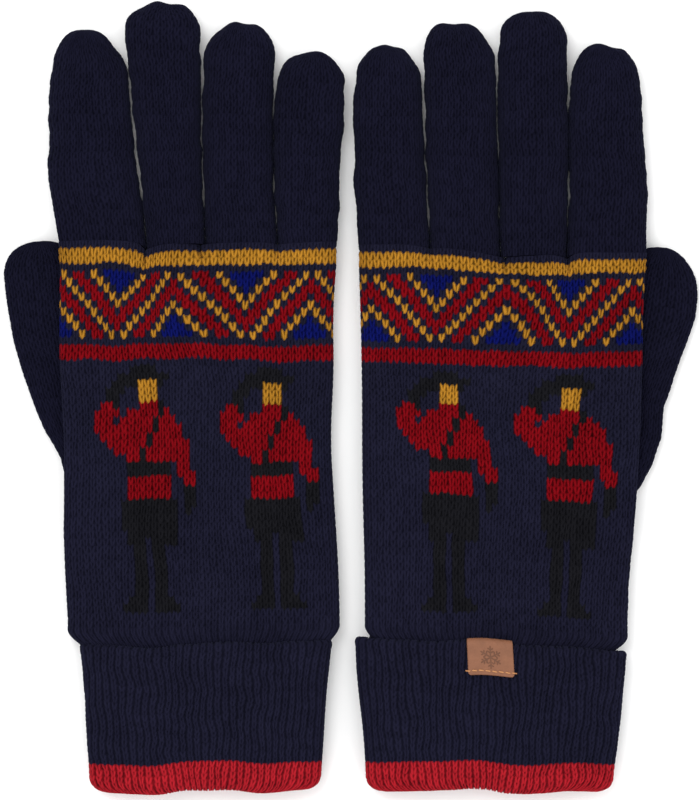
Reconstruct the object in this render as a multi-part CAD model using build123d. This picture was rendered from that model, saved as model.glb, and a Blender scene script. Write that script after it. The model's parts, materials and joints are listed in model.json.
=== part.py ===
"""A pair of knitted gloves with turned-back ribbed cuffs, lying palm down side by side.

The frame is in millimetres: X across the pair, Y towards the fingertips, Z up from the table.
The origin is on the table under the middle of the pair. Both gloves come from one set of
dimensions: the left-hand glove lies at +X, and the right-hand glove is its mirror image at -X.
"""

from build123d import *
import math
import os

# Knitted fabric
WALL = 1.8  # one layer of the hand and the fingers
THICK = 14.0  # hand and fingers, both layers with the air between them
EDGE = 6.6  # rounding of the fabric's folded sides
INNER_EDGE = 4.9
PAST = 2.0  # how far a cutter runs past an open end

# Hand: the tube that holds the palm
HAND_IN, HAND_OUT_TOP, HAND_OUT_BOTTOM = 4.0, 106.0, 101.0
HAND_TOP, HAND_BOTTOM = 54.0, -86.0
HAND_CORNER = 8.0
WRIST_PLATE = 5.0  # the hand narrows to the rib inside this length

# Fingers: inner side, outer side and fingertip
FINGERS = {
    "little": (4.0, 27.5, 127.5),
    "ring": (28.0, 53.5, 135.5),
    "middle": (54.0, 79.5, 142.5),
    "index": (80.0, 106.0, 131.0),
}
KNUCKLE_Y, KNUCKLE_Z = 55.0, THICK / 2  # the line that each finger bends about
ROOT_END = 63.6  # the first courses, which do the bending, end here
ROOT_GAP = 0.2

# Thumb: it lies under the outer edge of the hand
THUMB_PIVOT = (96.3, -25.0)
THUMB_LEAN = 11.3  # degrees from +Y towards the outer side
THUMB_LENGTH = 86.0
THUMB_WIDTH, THUMB_THICK, THUMB_WALL = 25.0, 7.6, 1.6
THUMB_EDGE, THUMB_INNER_EDGE = 3.6, 2.0
THUMB_ROOT_END = 14.0
THUMB_ROOM = 8.0  # the hand lies this high over the thumb
THUMB_HOLE = 7.5

# Cuff: a rib folded back on itself, red round the fold
CUFF_TOP, FOLD_Y, BAND_TOP = -88.0, -142.5, -129.5
CUFF_TOP_IN, CUFF_TOP_OUT = 4.0, 99.5
CUFF_END_IN, CUFF_END_OUT = 9.0, 93.5
CUFF_THICK, CUFF_WALL, CUFF_EDGE, CUFF_INNER_EDGE = 16.0, 2.2, 7.6, 5.4
LAYER_GAP = 0.2
WRIST_GAP = 0.4  # room for the hand to turn on the rib
LINING_WALL, LINING_EDGE, LINING_INNER_EDGE = 1.8, 5.2, 3.5
BAND_ROUND = 2.0

# Leather label, folded over the free edge of the left cuff
LABEL_IN, LABEL_OUT = 42.0, 58.6
LABEL_LENGTH, LABEL_BACK_LENGTH, LABEL_THICK, LABEL_CORNER = 12.6, 9.0, 1.1, 1.0
LABEL_GAP = 0.02
STITCHES, STITCH_LENGTH, STITCH_THICK, STITCH_INSET = 6, 1.7, 0.45, 2.4


def plate(points, bottom, thick):
    """A flat block with that outline."""
    return Pos(0, 0, bottom) * extrude(make_face(Polyline(*points, close=True)), thick)


def rounded(block, radius, open_ends):
    """Rounds the long sides of a flat block, all but where it is open, at those Y."""
    low, high = block.bounding_box().min.Z, block.bounding_box().max.Z

    def folded(edge):
        middle, ends = edge.center(), [v.Y for v in edge.vertices()]
        flat = min(abs(middle.Z - low), abs(middle.Z - high)) < 0.01
        at_end = any(all(abs(y - end) < 0.01 for y in ends) for end in open_ends)
        return flat and not at_end

    return fillet(block.edges().filter_by(folded), radius)


def finger_block(inner, outer, start, tip, inset):
    """A finger's outer shape, or its hollow where inset is the wall."""
    left, right = inner + inset, outer - inset
    radius = (outer - inner) / 2 - inset
    shoulder = tip - inset - radius
    middle = (left + right) / 2
    outline = (
        Line((left, start), (left, shoulder))
        + ThreePointArc((left, shoulder), (middle, tip - inset), (right, shoulder))
        + Line((right, shoulder), (right, start))
        + Line((right, start), (left, start))
    )
    block = Pos(0, 0, inset) * extrude(make_face(outline), THICK - 2 * inset)
    return rounded(block, INNER_EDGE if inset else EDGE, [start])


def finger_tube(name):
    """The part of a finger beyond its knuckle."""
    inner, outer, tip = FINGERS[name]
    start = ROOT_END + ROOT_GAP
    hollow = finger_block(inner, outer, start - PAST, tip, WALL)
    return finger_block(inner, outer, start, tip, 0) - hollow


def side_strip(inner, outer, start, end, inset):
    """A straight stretch of flat tube that is open at both ends."""
    left, right = inner + inset, outer - inset
    block = plate([(left, start), (right, start), (right, end), (left, end)], inset, THICK - 2 * inset)
    return rounded(block, INNER_EDGE if inset else EDGE, [start, end])


def finger_root(name):
    """The first courses of a finger, which fold when it bends."""
    inner, outer, _ = FINGERS[name]
    hollow = side_strip(inner, outer, HAND_TOP - PAST, ROOT_END + PAST, WALL)
    root = side_strip(inner, outer, HAND_TOP, ROOT_END, 0) - hollow
    return root - thumb_room(0) if name == "index" else root


def thumb_room(wall):
    """The space under the hand's outer edge where the thumb lies and swings, plus that wall."""
    base_in = THUMB_PIVOT[0] - THUMB_WIDTH / 2 - 1.0 - wall
    base_low = THUMB_PIVOT[1] - THUMB_WIDTH / 2 - 2.0 - wall
    beyond = HAND_OUT_TOP + 20
    top = ROOT_END + PAST
    top_in = base_in + (top - THUMB_PIVOT[1]) * math.tan(math.radians(THUMB_LEAN))
    points = [
        (base_in, base_low),
        (beyond, base_low),
        (beyond, top),
        (top_in, top),
        (base_in, THUMB_PIVOT[1]),
    ]
    return plate(points, -PAST, THUMB_ROOM + PAST + wall)


def hand_block(inset, top):
    """The hand's outer shape, or its hollow where inset is the wall."""
    bottom = HAND_BOTTOM + (WRIST_PLATE if inset else 0)
    outer_bottom, outer_top = HAND_OUT_BOTTOM - inset, HAND_OUT_TOP - inset
    outer_top += (outer_top - outer_bottom) * (top - HAND_TOP) / (HAND_TOP - HAND_BOTTOM)
    points = [(HAND_IN + inset, bottom), (outer_bottom, bottom), (outer_top, top), (HAND_IN + inset, top)]
    face = make_face(Polyline(*points, close=True))
    face = fillet(face.vertices().filter_by(lambda v: abs(v.Y - bottom) < 0.01), HAND_CORNER - inset)
    block = Pos(0, 0, inset) * extrude(face, THICK - 2 * inset)
    return rounded(block, INNER_EDGE if inset else EDGE, [top])


def thumb_block(start, inset, floor, edge):
    """A thumb's outer shape along +Y from its pivot, or its hollow where inset is the wall."""
    radius = THUMB_WIDTH / 2 - inset
    shoulder = THUMB_LENGTH - THUMB_WIDTH / 2
    outline = (
        Line((-radius, start), (-radius, shoulder))
        + ThreePointArc((-radius, shoulder), (0, shoulder + radius), (radius, shoulder))
        + Line((radius, shoulder), (radius, start))
        + Line((radius, start), (-radius, start))
    )
    block = Pos(0, 0, floor) * extrude(make_face(outline), THUMB_THICK - 2 * inset)
    return rounded(block, edge, [start])


def at_thumb(shape):
    """Puts a shape made along +Y from the thumb's pivot in its place."""
    return Pos(*THUMB_PIVOT, 0) * Rot(0, 0, -THUMB_LEAN) * shape


def thumb_tube():
    """The part of the thumb beyond its root."""
    start = THUMB_ROOT_END + ROOT_GAP
    hollow = thumb_block(start - PAST, THUMB_WALL, THUMB_WALL, THUMB_INNER_EDGE)
    return at_thumb(thumb_block(start, 0, 0, THUMB_EDGE) - hollow)


def thumb_root():
    """The gusset that joins the thumb to its hole in the palm, which shears when it swings."""
    radius, lift = THUMB_WIDTH / 2, 0.3
    height = THUMB_ROOM - lift
    shape = Cylinder(radius, height) + Pos(0, THUMB_ROOT_END / 2, 0) * Box(2 * radius, THUMB_ROOT_END, height)
    hollow_height = THUMB_THICK - 2 * THUMB_WALL
    inner = radius - THUMB_WALL
    way = THUMB_ROOT_END + PAST
    hollow = Pos(0, way / 2, 0) * Box(2 * inner, way, hollow_height) + Cylinder(inner, hollow_height)
    middle = lift + height / 2
    shape = Pos(0, 0, middle) * shape - Pos(0, 0, THUMB_THICK / 2) * hollow
    shape -= Pos(0, 0, THUMB_THICK) * Cylinder(THUMB_HOLE, THUMB_THICK)
    return at_thumb(shape)


def cuff_x(y, inset):
    """The cuff's two sides at that Y, moved in by inset."""
    share = (CUFF_TOP - y) / (CUFF_TOP - FOLD_Y)
    left = CUFF_TOP_IN + (CUFF_END_IN - CUFF_TOP_IN) * share + inset
    right = CUFF_TOP_OUT + (CUFF_END_OUT - CUFF_TOP_OUT) * share - inset
    return left, right


def cuff_block(inset, edge, low, high):
    """A flat tapered block as wide as the cuff less inset, between two Y."""
    (low_left, low_right), (high_left, high_right) = cuff_x(low, inset), cuff_x(high, inset)
    points = [(low_left, low), (low_right, low), (high_right, high), (high_left, high)]
    return rounded(plate(points, inset, CUFF_THICK - 2 * inset), edge, [low, high])


LINING_INSET = CUFF_WALL + LAYER_GAP
MOUTH_INSET = LINING_INSET + LINING_WALL


def mouth(low, high):
    """The way in for the hand, between two Y."""
    return cuff_block(MOUTH_INSET, LINING_INNER_EDGE, low, high)


def cuff_turnback():
    """The outer layer, folded back up, with a free edge at its top."""
    hollow = cuff_block(CUFF_WALL, CUFF_INNER_EDGE, BAND_TOP - PAST, CUFF_TOP + PAST)
    return cuff_block(0, CUFF_EDGE, BAND_TOP, CUFF_TOP) - hollow


def cuff_lining():
    """The inner layer, knitted on to the hand."""
    outer = cuff_block(LINING_INSET, LINING_EDGE, BAND_TOP + LAYER_GAP, HAND_BOTTOM - WRIST_GAP)
    return outer - mouth(BAND_TOP - PAST, HAND_BOTTOM + PAST)


def cuff_band():
    """The red courses round the fold, where the outer layer turns into the inner one."""
    ring = cuff_block(0, CUFF_EDGE, FOLD_Y, BAND_TOP)
    low_rim = ring.edges().filter_by(lambda e: all(abs(v.Y - FOLD_Y) < 0.01 for v in e.vertices()))
    ring = fillet(low_rim, BAND_ROUND)
    return ring - mouth(FOLD_Y - PAST, BAND_TOP + PAST)


def hand_tube():
    """The hand: open to the fingers, to the rib at the wrist, and to the thumb underneath."""
    hollow = hand_block(WALL, HAND_TOP + PAST) - thumb_room(WALL)
    hand = hand_block(0, HAND_TOP) - thumb_room(0) - hollow
    hand -= mouth(HAND_BOTTOM - PAST, HAND_BOTTOM + WRIST_PLATE + PAST)
    return hand - at_thumb(Pos(0, 0, THUMB_ROOM) * Cylinder(THUMB_HOLE, 3 * WALL))


def label_panel(length, bottom, corners):
    """One side of the folded label, from the cuff's free edge downwards."""
    top = CUFF_TOP + LABEL_THICK
    low = CUFF_TOP - length
    points = [(LABEL_IN, low), (LABEL_OUT, low), (LABEL_OUT, top), (LABEL_IN, top)]
    panel = plate(points, bottom, LABEL_THICK)
    upright = panel.edges().filter_by(Axis.Z).filter_by(lambda e: abs(e.center().Y - low) < 0.01)
    return fillet(upright, corners)


LABEL_FACE = CUFF_THICK + LABEL_GAP  # underside of the front panel
LABEL_BACK = CUFF_THICK - CUFF_WALL  # underside of the back panel, let into the fabric


def leather_label():
    """A strip folded over the cuff's free edge: front panel, back panel and the fold between."""
    front = label_panel(LABEL_LENGTH, LABEL_FACE, LABEL_CORNER)
    back = label_panel(LABEL_BACK_LENGTH, LABEL_BACK, LABEL_CORNER)
    width, height = LABEL_OUT - LABEL_IN, LABEL_FACE + LABEL_THICK - LABEL_BACK
    fold = Box(width, LABEL_THICK - LABEL_GAP, height, align=(Align.MIN, Align.MAX, Align.MIN))
    label = front + back + Pos(LABEL_IN, CUFF_TOP + LABEL_THICK, LABEL_BACK) * fold
    upper = label.edges().filter_by(Axis.X).sort_by(lambda e: e.center().Z + e.center().Y)[-1]
    return fillet(upper, LABEL_THICK / 2)


def label_pocket():
    """What the label's back panel takes out of the cuff's inner side."""
    length = LABEL_BACK_LENGTH + LABEL_GAP
    width = LABEL_OUT - LABEL_IN + 2 * LABEL_GAP
    room = Box(width, length + PAST, LABEL_THICK + LABEL_GAP + PAST, align=(Align.MIN, Align.MIN, Align.MAX))
    return Pos(LABEL_IN - LABEL_GAP, CUFF_TOP - length, LABEL_BACK + LABEL_THICK + LABEL_GAP) * room


def label_stitches():
    """The row of thread stitches that holds the label, along its lower edge."""
    pitch = (LABEL_OUT - LABEL_IN) / STITCHES
    y = CUFF_TOP - LABEL_LENGTH + STITCH_INSET
    z = LABEL_FACE + LABEL_THICK + STITCH_THICK / 2
    bar = Rot(0, 90, 0) * Cylinder(STITCH_THICK / 2, STITCH_LENGTH)
    return [Pos(LABEL_IN + (i + 0.5) * pitch, y, z) * bar for i in range(STITCHES)]


def left_glove():
    """Every piece of the left-hand glove, by name."""
    pieces = {"hand": hand_tube(), "thumb": thumb_tube(), "thumb_root": thumb_root()}
    for name in FINGERS:
        pieces[f"{name}_finger"] = finger_tube(name)
        pieces[f"{name}_root"] = finger_root(name)
    pieces["cuff_turnback"] = cuff_turnback()
    pieces["cuff_lining"] = cuff_lining()
    pieces["cuff_red_band"] = cuff_band()
    return pieces


def save(name, shape):
    export_step(shape, f"parts/{name}.step")


os.makedirs("parts", exist_ok=True)
for piece, shape in left_glove().items():
    save(f"right_{piece}", mirror(shape, about=Plane.YZ))
    save(f"left_{piece}", shape - label_pocket() if piece == "cuff_turnback" else shape)
save("leather_label", leather_label())
save("label_stitches", Compound(label_stitches()))
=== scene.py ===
"""A pair of knitted gloves, lying palm down: every stitch is geometry, laid on smooth tubes of fabric.

Lengths in this script are millimetres in the frame of the CAD model, and become metres when a mesh
is made. Each glove is described once, with x measured outwards from the middle of the pair, and
`side` puts it at +X (the left-hand glove) or at -X (the right-hand glove).
"""

import json
import math

import bpy
import numpy as np
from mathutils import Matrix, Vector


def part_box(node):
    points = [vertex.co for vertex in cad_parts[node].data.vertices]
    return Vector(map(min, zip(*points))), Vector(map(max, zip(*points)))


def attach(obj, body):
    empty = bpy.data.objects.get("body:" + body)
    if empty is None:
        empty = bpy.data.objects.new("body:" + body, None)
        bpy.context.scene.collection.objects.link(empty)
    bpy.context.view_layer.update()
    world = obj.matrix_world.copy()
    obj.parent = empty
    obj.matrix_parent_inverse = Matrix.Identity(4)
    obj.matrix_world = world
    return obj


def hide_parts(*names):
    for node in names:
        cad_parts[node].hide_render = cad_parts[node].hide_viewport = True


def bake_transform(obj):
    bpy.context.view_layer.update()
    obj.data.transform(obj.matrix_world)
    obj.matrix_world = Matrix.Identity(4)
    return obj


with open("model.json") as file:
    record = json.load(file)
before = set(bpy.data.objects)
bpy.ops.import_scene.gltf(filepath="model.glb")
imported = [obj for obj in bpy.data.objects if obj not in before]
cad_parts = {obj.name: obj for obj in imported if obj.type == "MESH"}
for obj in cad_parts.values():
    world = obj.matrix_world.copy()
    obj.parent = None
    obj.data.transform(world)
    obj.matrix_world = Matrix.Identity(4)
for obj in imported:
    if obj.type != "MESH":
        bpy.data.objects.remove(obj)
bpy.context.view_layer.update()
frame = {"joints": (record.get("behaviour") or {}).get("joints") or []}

MM = 0.001
SIDES = {"right": -1, "left": 1}
FINGERS = ("little", "ring", "middle", "index")

# Gauge of the knitting
WALE = 2.27  # width of one column of plain stitches
COURSE = 2.65  # height of one row
SAMPLES = (8, 6)  # mesh cells across and along each stitch
RELIEF = 0.62  # how far a stitch stands out
RIB_WALE = 2.8  # one knit column and one purl column
RIB_COURSE = 2.1
RIB_SAMPLES = (10, 5)
RIB_RELIEF = 1.0

# Colours, as linear red, green and blue
NAVY = (0.0080, 0.0079, 0.0187)
# Painted shade: the hand's navy yarn, made darker for the fingers and the thumb
SHADED_FINGER_NAVY = (0.0053, 0.0052, 0.0134)
RED = (0.142, 0.0018, 0.0042)
YELLOW = (0.315, 0.142, 0.014)
BLUE = (0.0024, 0.0044, 0.070)
BLACK = (0.0063, 0.0062, 0.0078)
CUFF_RED = (0.295, 0.0095, 0.0155)
LEATHER = (0.215, 0.087, 0.044)
THREAD = (0.44, 0.20, 0.08)


def smooth(low, high, x):
    """0 at low, 1 at high, and a smooth step between them."""
    t = np.clip((x - low) / (high - low), 0, 1)
    return t * t * (3 - 2 * t)


def outward_box(node, side):
    """A CAD node's lowest and highest corner in mm, with x measured outwards from the pair's middle."""
    low, high = (np.array(corner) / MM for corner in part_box(f"{side}_{node}"))
    if SIDES[side] < 0:
        low[0], high[0] = -high[0], -low[0]
    return low, high


def joint_place(name, side):
    """Where a joint's axis is, in mm and measured outwards."""
    found = next(j for j in frame["joints"] if j["name"] == f"{side}_{name}")
    x, y, z = (value / MM for value in found["pos_m"])
    return np.array((abs(x), y, z))


def wave_noise(seed, x, y, scale, waves=7):
    """A gentle random surface of that scale in mm, mostly between -1 and 1: a sum of seeded waves."""
    rng = np.random.default_rng(seed)
    total = np.zeros(np.broadcast(x, y).shape)
    for _ in range(waves):
        angle, phase = rng.uniform(0, 2 * math.pi, 2)
        length = scale * rng.uniform(0.7, 1.6)
        total += np.sin((x * math.cos(angle) + y * math.sin(angle)) * 2 * math.pi / length + phase)
    return total / math.sqrt(waves)


def layered_noise(seed, x, y, *layers):
    """The sum of some layers of waves, each given as how high and how long they are, with its own seed."""
    return sum(high * wave_noise(seed + i, x, y, long) for i, (high, long) in enumerate(layers))


# -------------------- stitches

LEG_REACH = 0.63  # half the length of a leg, in courses
LEG_LOW, LEG_HIGH = 0.10, 0.37  # a leg's distance from the middle of its stitch, at its two ends
LEG_THIN, LEG_WIDE = 0.15, 0.225  # half the width of a leg, in wales, at its foot and where it is widest
UNEVEN_ROW, UNEVEN_COLUMN, UNEVEN_WIDTH = 0.07, 0.035, 0.08  # how much stitches differ
GROOVE_LOW, GROOVE_SHADE = 0.22, 0.55  # how much lower it is between two columns, and how much painted shade lies in that groove
KNIT_SHARE = 0.88  # how much of a rib its knit column takes
PURL_HEIGHT = 0.3  # how high the purl column stands beside it
WRIST_RIB_ROWS = 5  # the hand's rows that are still rib, most of them inside the cuff


def stitch_noise(seed, column, row):
    """A random number from -1 to 1 for each stitch, the same at each sample of one stitch."""
    mixed = np.sin(column * 12.9898 + row * 78.233 + seed * 37.719) * 43758.5453
    return 2 * (mixed - np.floor(mixed)) - 1


def plain_stitches(u, v):
    """Plain knitting at (u, v), in stitches: the height from 0 to 1, how deep in a gap the point is from
    0 to 1, which the wool material paints as shade, and the column and row of the stitch on top. A
    stitch is two legs that form a V, whose point lies between the tops of the two legs below it."""
    best, top_row = np.full(u.shape, -1.0), np.floor(v)
    column = np.floor(u)
    across = u - column - 0.5
    for step in (-1, 0, 1):
        row = np.floor(v) + step
        uneven = stitch_noise(1, column, row)
        share = np.clip(((v - row - 0.5 + UNEVEN_ROW * uneven) / LEG_REACH + 1) / 2, -0.01, 1.01)
        sideways = np.abs(across + UNEVEN_COLUMN * stitch_noise(2, column, row))
        centre = LEG_LOW + (LEG_HIGH - LEG_LOW) * share
        width = LEG_THIN + (LEG_WIDE - LEG_THIN) * np.sin(2.0 * np.clip(share, 0, 1))
        d = (sideways - centre) / (width * (1 + UNEVEN_WIDTH * uneven))
        arch = 1 - 0.16 * share - 1.3 * np.clip(0.3 - share, 0, 1) - 1.8 * np.clip(share - 0.78, 0, 1)
        height = arch * np.sqrt(np.clip(1 - d * d, 0, 1))
        on_top = (height > best) & (np.abs(d) < 1) & (share > 0) & (share < 1)
        best = np.where(on_top, height, best)
        top_row = np.where(on_top, row, top_row)
    # Each column of stitches is a soft ridge
    groove = smooth(0.33, 0.5, np.abs(across))
    height = np.clip(best, 0, 1) * (1 - GROOVE_LOW * groove)
    # Painted shade: the gaps between legs and the grooves between columns get a darkness that the wool
    # material multiplies into the yarn's colour
    depth = np.maximum(1 - smooth(0.25, 0.88, height), GROOVE_SHADE * groove)
    return height, depth, column, top_row


def rib_stitches(u, v):
    """One-by-one rib at (u, v), in ribs and courses, given as plain_stitches gives it."""
    column = np.floor(u)
    across = u - column - 0.5
    wall = smooth(0.50, 0.34, np.abs(across))
    knit_u = np.clip(across / KNIT_SHARE + 0.5, 0, 0.999) + column
    height, depth, _, row = plain_stitches(knit_u, v)
    height = (0.45 + 0.55 * height) * (PURL_HEIGHT + (1 - PURL_HEIGHT) * wall)
    # Painted shade in the gaps, and in the purl grooves beside each knit column
    depth = np.maximum(depth * 0.85, 0.5 * (1 - wall))
    return height, depth, column, row


def wrist_stitches(u, v):
    """Plain knitting that grows out of rib, in its first few rows."""
    plain, rib = plain_stitches(u, v), rib_stitches(u, v)
    return tuple(np.where(v < WRIST_RIB_ROWS, low, high) for low, high in zip(rib, plain))


# -------------------- meshes

def new_object(name, points, face_groups, attributes, uv=None):
    """A smooth mesh object from points in mm, arrays of faces, named values of each point, and its UVs."""
    mesh = bpy.data.meshes.new(name)
    corners = np.concatenate([faces.ravel() for faces in face_groups]).astype(np.int32)
    sizes = np.concatenate([np.full(len(faces), faces.shape[1]) for faces in face_groups])
    starts = np.concatenate([[0], np.cumsum(sizes)[:-1]]).astype(np.int32)
    mesh.vertices.add(len(points))
    mesh.loops.add(len(corners))
    mesh.polygons.add(len(sizes))
    mesh.vertices.foreach_set("co", (points * MM).astype(np.float32).ravel())
    mesh.loops.foreach_set("vertex_index", corners)
    mesh.polygons.foreach_set("loop_start", starts)
    mesh.update(calc_edges=True)
    mesh.polygons.foreach_set("use_smooth", np.ones(len(sizes), bool))
    for key, values in attributes.items():
        colours = values.ndim == 2
        layer = mesh.attributes.new(key, "FLOAT_COLOR" if colours else "FLOAT", "POINT")
        layer.data.foreach_set("color" if colours else "value", values.astype(np.float32).ravel())
    if uv is not None:
        layer = mesh.uv_layers.new(name="OFBake")
        layer.data.foreach_set("uv", uv[corners].astype(np.float32).ravel())
    ob = bpy.data.objects.new(name, mesh)
    bpy.context.scene.collection.objects.link(ob)
    return ob


def grid_faces(around, along):
    """Quads of a grid whose points run around first, with its last column joined to its first."""
    i, j = np.arange(around), np.arange(along - 1)[:, None]
    a, b = j * around + i, j * around + (i + 1) % around
    return np.stack([a, b, b + around, a + around], axis=-1).reshape(-1, 4)


def cap_faces(ring, centre, at_end):
    """Triangles from a ring of points to one point at its middle."""
    after = np.roll(ring, -1)
    pair = (ring, after) if at_end else (after, ring)
    return np.stack([*pair, np.full(len(ring), centre)], axis=-1)


# Layers of waves, in stitches: how far columns and rows wander, and how uneven the fabric is in mm
COLUMNS_WANDER = ((0.13, 9), (0.06, 3.5))
ROWS_WANDER = ((0.12, 8), (0.06, 3.0))
LUMPS = (0.10, 4.5)
DARK_YARN_GAP_SHADE = 0.64  # how much of the painted gap shade is kept between dark stitches, whose fibres reach over the gap
# the yarn brightness over which the painted gap shade grows to its full strength
DARK_YARN, BRIGHT_YARN = 0.03, 0.10


def knit_tube(name, side, place, size, stitches, yarn, relief, samples=SAMPLES, capped="", uneven=1.0):
    """A tube of knitting. size is its columns and rows. place(u, v) gives the smooth surface in mm, u
    around it and v along it, in stitches; stitches(u, v) the relief on it; yarn(column, row) the
    colour. capped is "start" or "end" where an end is closed, and uneven scales how far rows and
    columns wander."""
    columns, rows = size
    around, along = columns * samples[0], rows * samples[1] + 1
    u, v = np.meshgrid(np.arange(around) / samples[0], np.arange(along) / samples[1])
    # A closed end is a small hole that cap_faces fills
    hole = 0.4 / samples[1]
    v = np.clip(v, hole if "start" in capped else 0, rows - hole if "end" in capped else rows)
    base = place(u, v)
    d_around = np.roll(base, -1, axis=1) - np.roll(base, 1, axis=1)
    normal = np.cross(d_around, np.gradient(base, axis=0))
    normal /= np.linalg.norm(normal, axis=2, keepdims=True) + 1e-9
    # No row or column is quite straight, but they meet where the tube meets itself or its neighbour
    seed = sum(name.encode())
    fade = smooth(0, 4, u) * smooth(columns, columns - 4, u) * smooth(0, 2, v) * smooth(rows, rows - 2, v)
    wander = uneven * fade
    across = u + wander * layered_noise(seed, u, v, *COLUMNS_WANDER)
    up = v + wander * layered_noise(seed + 2, u, v, *ROWS_WANDER)
    height, depth, column, row = stitches(across, up)
    # Stitches get smaller where the tube closes, and so does what stands out
    narrow = np.clip(np.linalg.norm(d_around, axis=2) * samples[0] / (2 * WALE), 0, 1)
    lumps = layered_noise(seed + 4, u, v, LUMPS) * fade
    points = base + normal * ((height * relief + lumps) * narrow)[..., None]
    colour = yarn(column, row)
    points, colour = points.reshape(-1, 3), colour.reshape(-1, 3)
    # Painted shade in the gaps, weaker for dark yarn
    bright = smooth(DARK_YARN, BRIGHT_YARN, colour.max(axis=1))
    depth = depth.ravel() * (DARK_YARN_GAP_SHADE + (1 - DARK_YARN_GAP_SHADE) * bright)
    shade = stitch_noise(5, column, row).ravel()
    uv = np.stack([u / columns, v / rows], axis=-1).reshape(-1, 2)
    faces = [grid_faces(around, along)]
    for end, first in (("start", 0), ("end", (along - 1) * around)):
        if end in capped:
            ring = np.arange(first, first + around)
            faces.append(cap_faces(ring, len(points), end == "end"))
            points = np.vstack([points, points[ring].mean(axis=0)])
            colour = np.vstack([colour, colour[ring[:1]]])
            depth, shade = np.append(depth, depth[ring[0]]), np.append(shade, 0)
            uv = np.vstack([uv, uv[ring].mean(axis=0)])
    points[:, 0] *= SIDES[side]
    if SIDES[side] < 0:
        faces = [group[:, ::-1] for group in faces]
    colour = np.hstack([colour, np.ones((len(colour), 1))])
    # depth carries the painted gap shade to the wool material
    return new_object(name, points, faces, {"yarn": colour, "depth": depth, "shade": shade}, uv)


# -------------------- flat tubes of fabric

def flat_loop(angle, half_width, half_height, power):
    """A point on a flattened loop round the Y axis. Angle pi is its inner side, and half pi its top."""
    c, s = np.cos(angle), np.sin(angle)
    x = half_width * np.sign(c) * np.abs(c) ** (2 / power)
    z = half_height * np.sign(s) * np.abs(s) ** (2 / power)
    return x, z


def even_angles(columns, half_width, half_height, power):
    """The angle on such a loop for each column, so that all columns are equally wide."""
    angle = np.linspace(math.pi, -math.pi, 4001)
    x, z = flat_loop(angle, half_width, half_height, power)
    length = np.concatenate([[0], np.cumsum(np.hypot(np.diff(x), np.diff(z)))])
    length *= columns / length[-1]
    return lambda u: np.interp(np.mod(u, columns), length, angle)


def loop_length(half_width, half_height, power):
    """How far it is round such a loop."""
    x, z = flat_loop(np.linspace(math.pi, -math.pi, 721), half_width, half_height, power)
    return np.hypot(np.diff(x), np.diff(z)).sum()


# How each glove lies: how its rows slope at the knuckles, at the wrist and at the cuff's fold
SLOPE = {"left": (-0.034, -0.050, 0.0), "right": (0.004, -0.026, -0.008)}
SLOPE_MIDDLE = 45.0  # the distance from the pair's middle where a slope moves nothing
# The lines between and beside the fingers: at the crotch, half way up the fingers and at their tips
FINGER_LINES = {
    "left": (
        (2.6, 28.4, 54.2, 77.9, 106.8),
        (1.2, 27.6, 53.6, 79.0, 106.2),
        (2.4, 25.0, 52.9, 78.6, 104.2),
    ),
    "right": (
        (5.0, 26.3, 52.2, 73.6, 105.6),
        (2.4, 27.3, 53.2, 78.2, 109.2),
        (1.0, 26.0, 53.2, 82.2, 107.6),
    ),
}
# For each finger, in the order of FINGERS, how much longer it lies than its CAD model
LONGER = {"left": (0.0, 0.0, -0.6, -0.5), "right": (-1.2, 0.4, 1.2, 2.8)}
# The hand's inner and outer side at some places along it
INNER_SIDE = {
    "left": ((-86, 5.6), (-45, 4.7), (0, 4.0), (30, 3.5), (57, 2.6)),
    "right": ((-86, 3.6), (-50, 5.0), (-15, 6.4), (10, 5.4), (34, 6.9), (57, 5.0)),
}
OUTER_SIDE = {
    "left": ((-86, 100.6), (-65, 100.6), (-36, 103.6), (57, 106.8)),
    "right": ((-86, 101.6), (-40, 103.2), (10, 104.4), (57, 105.6)),
}
# How far the top of the band dips where two fingers meet, at FINGER_LINES 1 to 3, and how far it sags
# between them
DIPS = {"left": (0.5, 1.0, 2.6), "right": (0.8, 0.8, 3.4)}
DIP_OUTER, DIP_INNER = 2.2, 7.0
SAG = {"left": 1.5, "right": 0.0}
SAG_MIDDLE, SAG_WIDTH = 57, 12
# How far some rows lie above where even rows would put them, as pairs of y and the rise
ROW_RISES = {
    "left": (
        (-92, 0.0), (-76, -2.0), (-56, 0.0), (-34, 1.9), (-14, 0.2),
        (6, -1.6), (18, -2.0), (62, -2.0), (125, 0.0),
    ),
    "right": ((-92, 0.0), (125, 0.0)),
}
WRIST_ZONE, FOLD_ZONE = (20, -90), (-94, -138)  # where along Y one slope turns into the next
DRIFT_X, DRIFT_Y = (0.45, 70), (0.5, 60)  # waves of the whole glove
TABLE_GAP = 0.1


def settle(side, x, y, z, stands_out=RELIEF):
    """Moves points a little, as no glove lies quite like its other, and makes them one array. The
    underside is flat where its stitches, which stand out that far, rest on the table."""
    knuckles, wrist, fold = SLOPE[side]
    low, lowest = smooth(*WRIST_ZONE, y), smooth(*FOLD_ZONE, y)
    slope = knuckles * (1 - low) + (wrist * (1 - lowest) + fold * lowest) * low
    seed = 11 if side == "left" else 12
    along = y + slope * (x - SLOPE_MIDDLE) + layered_noise(seed + 20, x, y, DRIFT_Y)
    across = x + layered_noise(seed, x, y, DRIFT_X)
    return np.stack(np.broadcast_arrays(across, along, np.maximum(z, stands_out + TABLE_GAP)), axis=-1)


# -------------------- hand

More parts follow.
